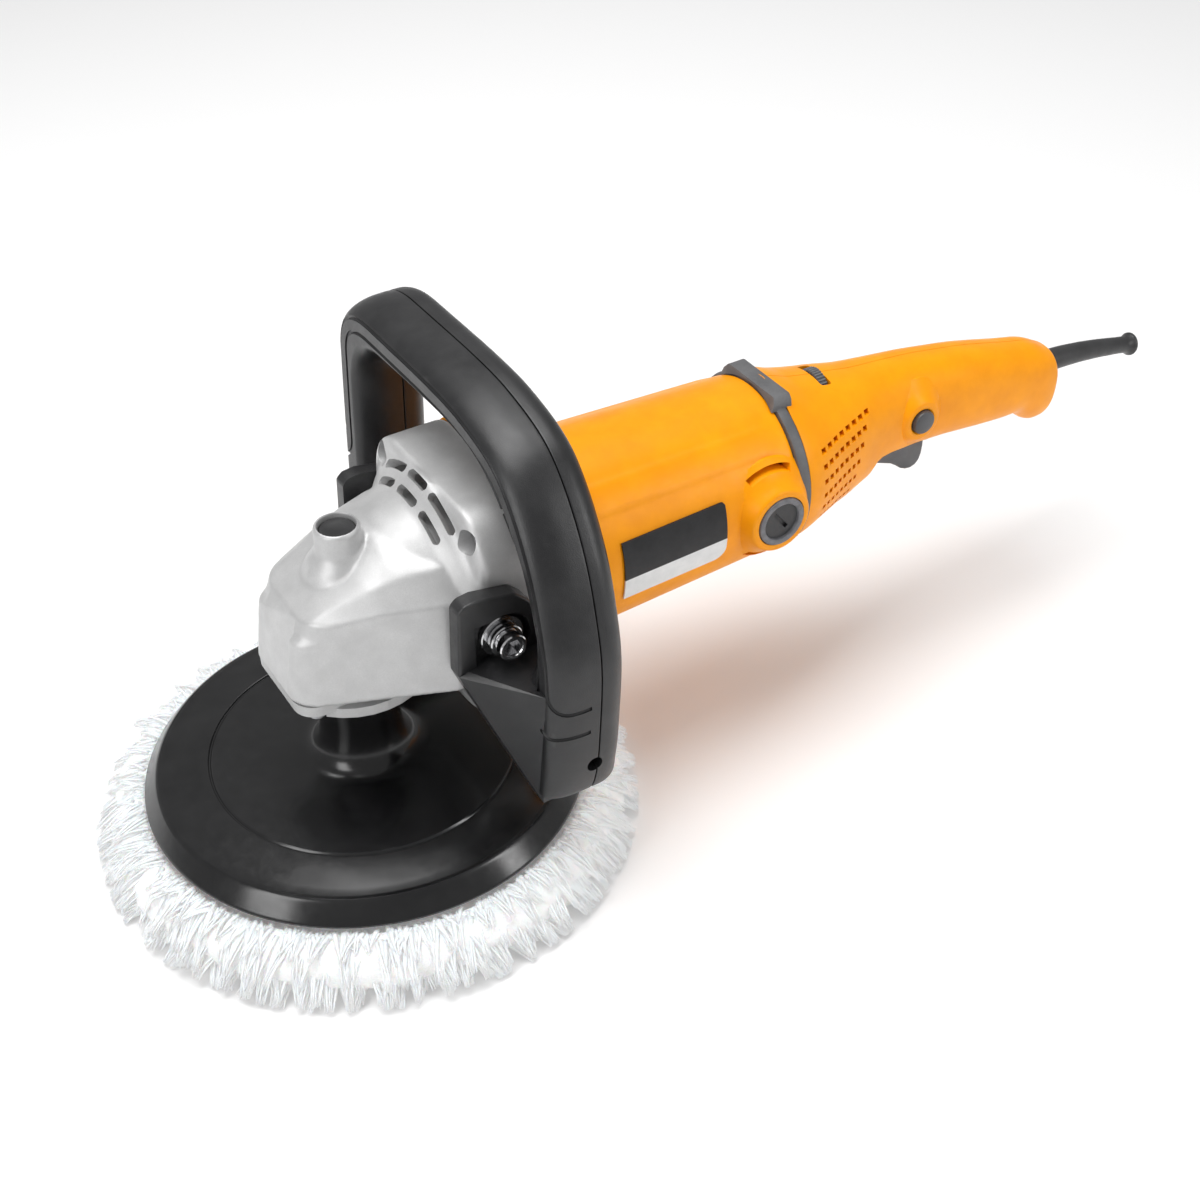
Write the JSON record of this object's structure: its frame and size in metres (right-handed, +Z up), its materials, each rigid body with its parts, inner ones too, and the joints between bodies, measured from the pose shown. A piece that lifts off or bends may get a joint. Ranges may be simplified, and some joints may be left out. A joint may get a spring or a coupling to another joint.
{
  "type": "rotary polisher",
  "caption": "Corded rotary polisher with loop front handle, two-stage gear head, backing pad and wool bonnet, rear grip with trigger, lock-on button and speed dial",
  "frame": {"origin": "centre of the wool bonnet's flat working face, which the tool rests on", "axes": "+Z up along the spindle, +X back along the motor and rear handle, +Y to the tool's left"},
  "size_m": [0.5231, 0.218, 0.1875],
  "materials": {
    "wool": "matt",
    "hook_fabric": "matt",
    "pad_plastic": "gloss",
    "steel": "satin",
    "cast_aluminium": "satin",
    "black_plastic": "matt",
    "copper": "satin",
    "laminations": "satin",
    "brass": "satin",
    "graphite": "matt",
    "orange_plastic": "gloss",
    "label": "gloss",
    "grey_rubber": "matt",
    "grey_plastic": "matt",
    "dark_rubber": "matt",
    "chrome": "polished"
  },
  "bodies": {
    "tool": {"spindle_bearing_lower": "steel", "spindle_bearing_upper": "steel", "gear_housing": "cast_aluminium", "flange_screw_1": "steel", "flange_screw_2": "steel", "flange_screw_3": "steel", "flange_screw_4": "steel", "bearing_retainer": "cast_aluminium", "retainer_screw_1": "steel", "retainer_screw_2": "steel", "retainer_screw_3": "steel", "retainer_screw_4": "steel", "spindle_lock_spring": "steel", "pinion_bearing_front": "steel", "pinion_bearing_rear": "steel", "armature_bearing_front": "steel", "armature_bearing_rear": "steel", "gearcase_plate": "cast_aluminium", "field_coil_upper": "copper", "field_coil_lower": "copper", "stator_core": "laminations", "brush_holder_left": "brass", "brush_holder_right": "brass", "carbon_brush_left": "graphite", "carbon_brush_right": "graphite", "brush_cap_left": "black_plastic", "brush_cap_right": "black_plastic", "motor_housing": "orange_plastic", "name_plate": "label", "bumper_ring": "grey_rubber", "rear_handle_left": "orange_plastic", "rear_handle_right": "orange_plastic", "switch_body": "black_plastic", "speed_controller": "black_plastic", "trigger_pin": "steel", "cord_guard": "dark_rubber", "cord_clamp": "black_plastic", "loop_handle_front": "black_plastic", "loop_handle_rear": "black_plastic", "handle_bolt_left": "chrome", "handle_bolt_right": "chrome", "handle_washer_left": "chrome", "handle_washer_right": "chrome"},
    "output": {"wool_bonnet": "wool", "hook_disc": "hook_fabric", "backing_pad": "pad_plastic", "pad_nut": "steel", "spindle": "steel", "ring_gear": "steel"},
    "second_shaft": {"pinion_shaft": "steel", "reduction_gear": "steel"},
    "armature": {"armature_shaft": "steel", "armature_core": "copper", "commutator": "copper", "cooling_fan": "black_plastic"},
    "spindle_lock": {"spindle_lock_button": "black_plastic", "spindle_lock_pin": "steel"},
    "trigger": {"trigger": "grey_plastic"},
    "lock_on": {"lock_on_button": "black_plastic"},
    "dial": {"speed_dial": "grey_rubber"}
  },
  "joints": [
    {"name": "spindle_spin", "type": "hinge", "parent": "tool", "child": "output", "pos_m": [0, 0, 0.09], "axis": [0, 0, 1], "continuous": true},
    {"name": "second_shaft_spin", "type": "hinge", "parent": "tool", "child": "second_shaft", "pos_m": [0.03, 0, 0.12], "axis": [1, 0, 0], "continuous": true},
    {"name": "armature_spin", "type": "hinge", "parent": "tool", "child": "armature", "pos_m": [0.1, 0, 0.105], "axis": [1, 0, 0], "continuous": true},
    {"name": "spindle_lock_press", "type": "slide", "parent": "tool", "child": "spindle_lock", "axis": [0, 0, -1], "range_m": [0, 0.003], "stiffness_N_per_m": 600, "springref_m": -0.001, "deforming": ["spindle_lock_spring"]},
    {"name": "trigger_squeeze", "type": "hinge", "parent": "tool", "child": "trigger", "pos_m": [0.247, 0, 0.0945], "axis": [0, -1, 0], "range_deg": [0, 7], "stiffness_Nm_per_rad": 0.4, "springref_deg": -8.59},
    {"name": "lock_on_press", "type": "slide", "parent": "tool", "child": "lock_on", "axis": [0, 1, 0], "range_m": [0, 0.003], "stiffness_N_per_m": 400, "springref_m": -0.001},
    {"name": "speed_dial_turn", "type": "hinge", "parent": "tool", "child": "dial", "pos_m": [0.2207, 0, 0.13], "axis": [1, 0, 0], "range_deg": [-135, 135]}
  ],
  "couplings": [
    {"joint": "second_shaft_spin", "follows": "spindle_spin", "ratio": 3},
    {"joint": "armature_spin", "follows": "spindle_spin", "ratio": -9.75}
  ]
}
